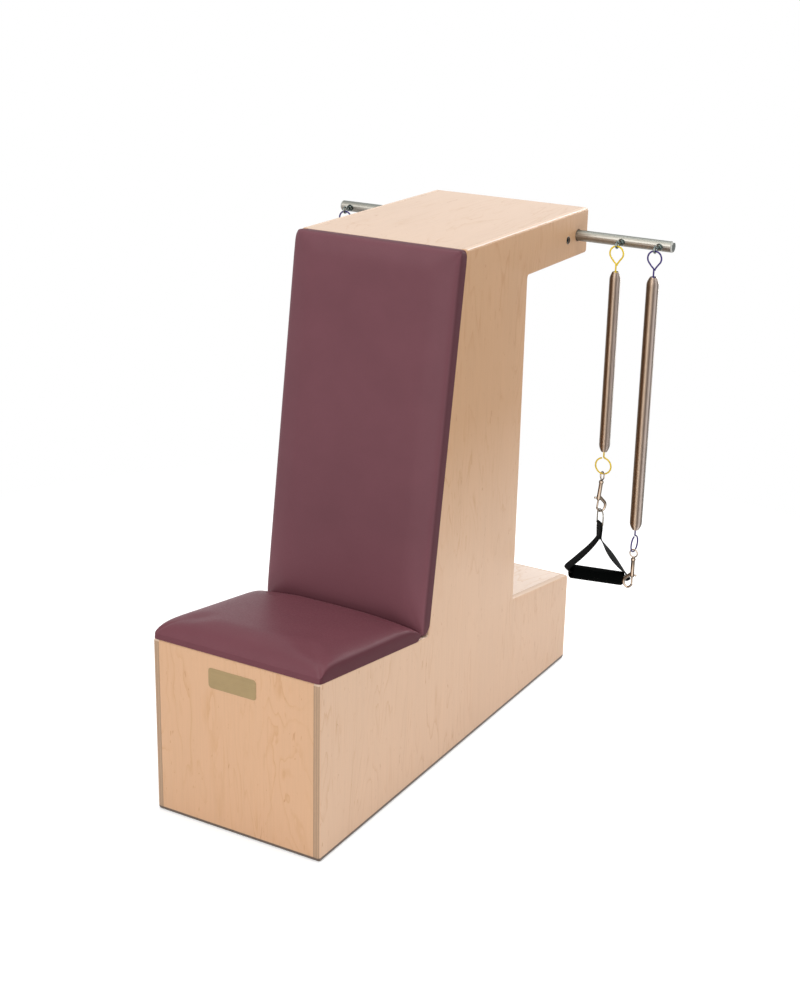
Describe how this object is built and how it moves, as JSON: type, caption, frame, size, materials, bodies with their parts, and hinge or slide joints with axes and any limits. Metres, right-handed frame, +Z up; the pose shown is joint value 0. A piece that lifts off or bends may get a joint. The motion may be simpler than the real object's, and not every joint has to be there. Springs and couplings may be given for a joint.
{
  "type": "pilates arm chair",
  "caption": "Plywood exercise chair with a sloping padded seat and tall padded back, a cross bar through its rear overhang and hanging springs with snap hooks and foam handles.",
  "frame": {"origin": "on the floor under the middle of the overall box", "axes": "+Z up, +Y from the front of the seat towards the rear, +X to the right seen from the front"},
  "size_m": [0.77, 1.0112, 1.012],
  "materials": {
    "birch_plywood": "clear lacquer",
    "raw_board": "raw",
    "vinyl_seat": "matte vinyl",
    "vinyl_back": "matte vinyl",
    "satin_steel": "satin",
    "cap_plastic": "matte",
    "dark_steel": "black oxide",
    "plate_brass": "brushed",
    "zinc": "bright zinc",
    "yellow_wire": "gloss",
    "purple_wire": "gloss",
    "coil_steel": "satin",
    "nickel": "nickel plated",
    "webbing": "woven",
    "foam": "foam"
  },
  "bodies": {
    "case": {"side_panel_right": "birch_plywood", "side_panel_left": "birch_plywood", "front_panel": "birch_plywood", "seat_deck": "birch_plywood", "back_deck": "birch_plywood", "top_panel": "birch_plywood", "overhang_rear_panel": "birch_plywood", "overhang_bottom_panel": "birch_plywood", "upright_rear_panel": "birch_plywood", "foot_top_panel": "birch_plywood", "foot_rear_panel": "birch_plywood", "bar_stretcher": "raw_board", "seat_cushion": "vinyl_seat", "seat_board": "raw_board", "back_cushion": "vinyl_back", "back_board": "raw_board", "spring_bar": "satin_steel", "bar_end_cap_right": "cap_plastic", "bar_end_cap_left": "cap_plastic", "stretcher_screw_right": "dark_steel", "stretcher_screw_left": "dark_steel", "name_plate": "plate_brass", "right_inner_eyebolt": "zinc", "right_inner_eyebolt_nut": "zinc", "right_outer_eyebolt": "zinc", "right_outer_eyebolt_nut": "zinc", "left_inner_eyebolt": "zinc", "left_inner_eyebolt_nut": "zinc", "left_outer_eyebolt": "zinc", "left_outer_eyebolt_nut": "zinc"},
    "right_inner_hanger": {"right_inner_top_loop": "yellow_wire", "right_inner_coil": "coil_steel"},
    "right_inner_foot": {"right_inner_low_loop": "yellow_wire"},
    "right_inner_eye": {"right_inner_snap_eye": "nickel"},
    "right_inner_hook": {"right_inner_snap_body": "nickel"},
    "right_inner_bolt": {"right_inner_snap_bolt": "nickel"},
    "right_inner_ring": {"right_inner_handle_ring": "nickel"},
    "right_inner_strap": {"right_inner_handle_strap": "webbing"},
    "right_inner_grip": {"right_inner_handle_grip": "foam"},
    "right_outer_hanger": {"right_outer_top_loop": "purple_wire", "right_outer_coil": "coil_steel"},
    "right_outer_foot": {"right_outer_low_loop": "purple_wire"},
    "right_outer_eye": {"right_outer_snap_eye": "nickel"},
    "right_outer_hook": {"right_outer_snap_body": "nickel"},
    "right_outer_bolt": {"right_outer_snap_bolt": "nickel"},
    "left_inner_hanger": {"left_inner_top_loop": "yellow_wire", "left_inner_coil": "coil_steel"},
    "left_inner_foot": {"left_inner_low_loop": "yellow_wire"},
    "left_inner_eye": {"left_inner_snap_eye": "nickel"},
    "left_inner_hook": {"left_inner_snap_body": "nickel"},
    "left_inner_bolt": {"left_inner_snap_bolt": "nickel"},
    "left_inner_ring": {"left_inner_handle_ring": "nickel"},
    "left_inner_strap": {"left_inner_handle_strap": "webbing"},
    "left_inner_grip": {"left_inner_handle_grip": "foam"},
    "left_outer_hanger": {"left_outer_top_loop": "purple_wire", "left_outer_coil": "coil_steel"},
    "left_outer_foot": {"left_outer_low_loop": "purple_wire"},
    "left_outer_eye": {"left_outer_snap_eye": "nickel"},
    "left_outer_hook": {"left_outer_snap_body": "nickel"},
    "left_outer_bolt": {"left_outer_snap_bolt": "nickel"}
  },
  "joints": [
    {"name": "right_inner_swing", "type": "hinge", "parent": "case", "child": "right_inner_hanger", "pos_m": [0.278, 0.42607, 0.95635], "axis": [1, 0, 0], "range_deg": [-110, 60]},
    {"name": "right_inner_stretch", "type": "slide", "parent": "right_inner_hanger", "child": "right_inner_foot", "axis": [0, 0, -1], "range_m": [0, 0.2], "stiffness_N_per_m": 150, "springref_m": -0.08, "deforming": ["right_inner_coil"]},
    {"name": "right_inner_snap_swing", "type": "hinge", "parent": "right_inner_foot", "child": "right_inner_eye", "pos_m": [0.278, 0.42607, 0.47785], "axis": [1, 0, 0], "range_deg": [-60, 60]},
    {"name": "right_inner_swivel", "type": "hinge", "parent": "right_inner_eye", "child": "right_inner_hook", "pos_m": [0.278, 0.42607, 0.47785], "axis": [0.0741, 0.0823, 0.9939], "range_deg": [-18, 110]},
    {"name": "right_inner_bolt_slide", "type": "slide", "parent": "right_inner_hook", "child": "right_inner_bolt", "axis": [0.0741, 0.0823, 0.9939], "range_m": [0, 0.008], "stiffness_N_per_m": 300, "springref_m": -0.01},
    {"name": "right_inner_ring_swing", "type": "hinge", "parent": "right_inner_hook", "child": "right_inner_ring", "pos_m": [0.2785, 0.42663, 0.39465], "axis": [0.6691, 0.7431, 0], "range_deg": [-10, 40]},
    {"name": "right_inner_strap_swing", "type": "hinge", "parent": "right_inner_ring", "child": "right_inner_strap", "pos_m": [0.2785, 0.42663, 0.36775], "axis": [-0.7431, 0.6691, 0], "range_deg": [-25, 25]},
    {"name": "right_inner_grip_spin", "type": "hinge", "parent": "right_inner_strap", "child": "right_inner_grip", "pos_m": [0.2785, 0.42663, 0.24995], "axis": [0.6493, 0.7211, -0.2419], "continuous": true},
    {"name": "right_outer_swing", "type": "hinge", "parent": "case", "child": "right_outer_hanger", "pos_m": [0.359, 0.42607, 0.95635], "axis": [1, 0, 0], "range_deg": [-110, 60]},
    {"name": "right_outer_stretch", "type": "slide", "parent": "right_outer_hanger", "child": "right_outer_foot", "axis": [0, 0, -1], "range_m": [0, 0.2], "stiffness_N_per_m": 150, "springref_m": -0.08, "deforming": ["right_outer_coil"]},
    {"name": "right_outer_snap_swing", "type": "hinge", "parent": "right_outer_foot", "child": "right_outer_eye", "pos_m": [0.359, 0.42607, 0.32135], "axis": [0, 1, 0], "range_deg": [-60, 20]},
    {"name": "right_outer_swivel", "type": "hinge", "parent": "right_outer_eye", "child": "right_outer_hook", "pos_m": [0.359, 0.42607, 0.32135], "axis": [0, 0, 1], "continuous": true},
    {"name": "right_outer_bolt_slide", "type": "slide", "parent": "right_outer_hook", "child": "right_outer_bolt", "axis": [0, 0, 1], "range_m": [0, 0.008], "stiffness_N_per_m": 300, "springref_m": -0.01},
    {"name": "left_inner_swing", "type": "hinge", "parent": "case", "child": "left_inner_hanger", "pos_m": [-0.278, 0.42607, 0.95635], "axis": [1, 0, 0], "range_deg": [-110, 60]},
    {"name": "left_inner_stretch", "type": "slide", "parent": "left_inner_hanger", "child": "left_inner_foot", "axis": [0, 0, -1], "range_m": [0, 0.2], "stiffness_N_per_m": 150, "springref_m": -0.08, "deforming": ["left_inner_coil"]},
    {"name": "left_inner_snap_swing", "type": "hinge", "parent": "left_inner_foot", "child": "left_inner_eye", "pos_m": [-0.278, 0.42607, 0.47785], "axis": [1, 0, 0], "range_deg": [-60, 60]},
    {"name": "left_inner_swivel", "type": "hinge", "parent": "left_inner_eye", "child": "left_inner_hook", "pos_m": [-0.278, 0.42607, 0.47785], "axis": [-0.0741, 0.0823, 0.9939], "range_deg": [-110, 18]},
    {"name": "left_inner_bolt_slide", "type": "slide", "parent": "left_inner_hook", "child": "left_inner_bolt", "axis": [-0.0741, 0.0823, 0.9939], "range_m": [0, 0.008], "stiffness_N_per_m": 300, "springref_m": -0.01},
    {"name": "left_inner_ring_swing", "type": "hinge", "parent": "left_inner_hook", "child": "left_inner_ring", "pos_m": [-0.2785, 0.42663, 0.39465], "axis": [-0.6691, 0.7431, 0], "range_deg": [-40, 10]},
    {"name": "left_inner_strap_swing", "type": "hinge", "parent": "left_inner_ring", "child": "left_inner_strap", "pos_m": [-0.2785, 0.42663, 0.36775], "axis": [0.7431, 0.6691, 0], "range_deg": [-25, 25]},
    {"name": "left_inner_grip_spin", "type": "hinge", "parent": "left_inner_strap", "child": "left_inner_grip", "pos_m": [-0.2785, 0.42663, 0.24995], "axis": [-0.6493, 0.7211, -0.2419], "continuous": true},
    {"name": "left_outer_swing", "type": "hinge", "parent": "case", "child": "left_outer_hanger", "pos_m": [-0.359, 0.42607, 0.95635], "axis": [1, 0, 0], "range_deg": [-110, 60]},
    {"name": "left_outer_stretch", "type": "slide", "parent": "left_outer_hanger", "child": "left_outer_foot", "axis": [0, 0, -1], "range_m": [0, 0.2], "stiffness_N_per_m": 150, "springref_m": -0.08, "deforming": ["left_outer_coil"]},
    {"name": "left_outer_snap_swing", "type": "hinge", "parent": "left_outer_foot", "child": "left_outer_eye", "pos_m": [-0.359, 0.42607, 0.32135], "axis": [0, 1, 0], "range_deg": [-20, 60]},
    {"name": "left_outer_swivel", "type": "hinge", "parent": "left_outer_eye", "child": "left_outer_hook", "pos_m": [-0.359, 0.42607, 0.32135], "axis": [0, 0, 1], "continuous": true},
    {"name": "left_outer_bolt_slide", "type": "slide", "parent": "left_outer_hook", "child": "left_outer_bolt", "axis": [0, 0, 1], "range_m": [0, 0.008], "stiffness_N_per_m": 300, "springref_m": -0.01}
  ]
}
